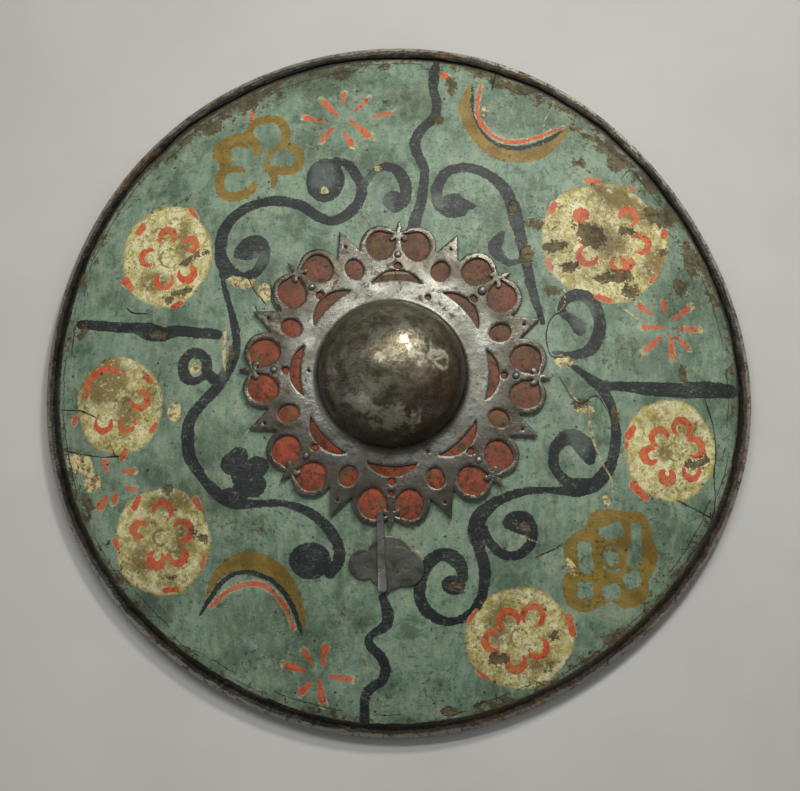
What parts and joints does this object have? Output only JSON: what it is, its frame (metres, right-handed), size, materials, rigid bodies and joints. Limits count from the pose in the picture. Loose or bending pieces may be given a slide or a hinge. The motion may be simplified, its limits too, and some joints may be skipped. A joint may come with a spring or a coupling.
{
  "type": "painted round shield with a pierced iron boss",
  "caption": "Dished round wooden shield with an iron rim, painted scrolls and flowers, and a pierced iron plate raised into a hollow hand boss over red leather.",
  "frame": {"origin": "on the surface the shield lies on, below the middle of its rim", "axes": "+Z out of the painted face, +Y towards the shield's top, +X to the right as one looks at the face"},
  "size_m": [0.6035, 0.6, 0.1356],
  "materials": {
    "painted_board": "worn matt paint on wood",
    "rim_iron": "hammered, dark, part rusted",
    "red_leather": "faded, dusty",
    "plate_iron": "worn bright on the flange, dark and pitted on the dome",
    "nail_iron": "worn",
    "dark_iron": "dark brown patina",
    "bar_iron": "dull with a bright tip",
    "bare_wood": "bare, darkened by handling"
  },
  "bodies": {
    "root": {"board": "painted_board", "rim_band": "rim_iron", "red_underlay": "red_leather", "boss_plate": "plate_iron", "plate_nail_1": "nail_iron", "plate_nail_2": "nail_iron", "plate_nail_3": "nail_iron", "plate_nail_4": "nail_iron", "plate_nail_5": "nail_iron", "plate_nail_6": "nail_iron", "plate_nail_7": "nail_iron", "leaf_plate": "dark_iron", "bar": "bar_iron", "grip": "bare_wood", "grip_nail_1": "dark_iron", "grip_nail_2": "dark_iron"}
  },
  "joints": []
}
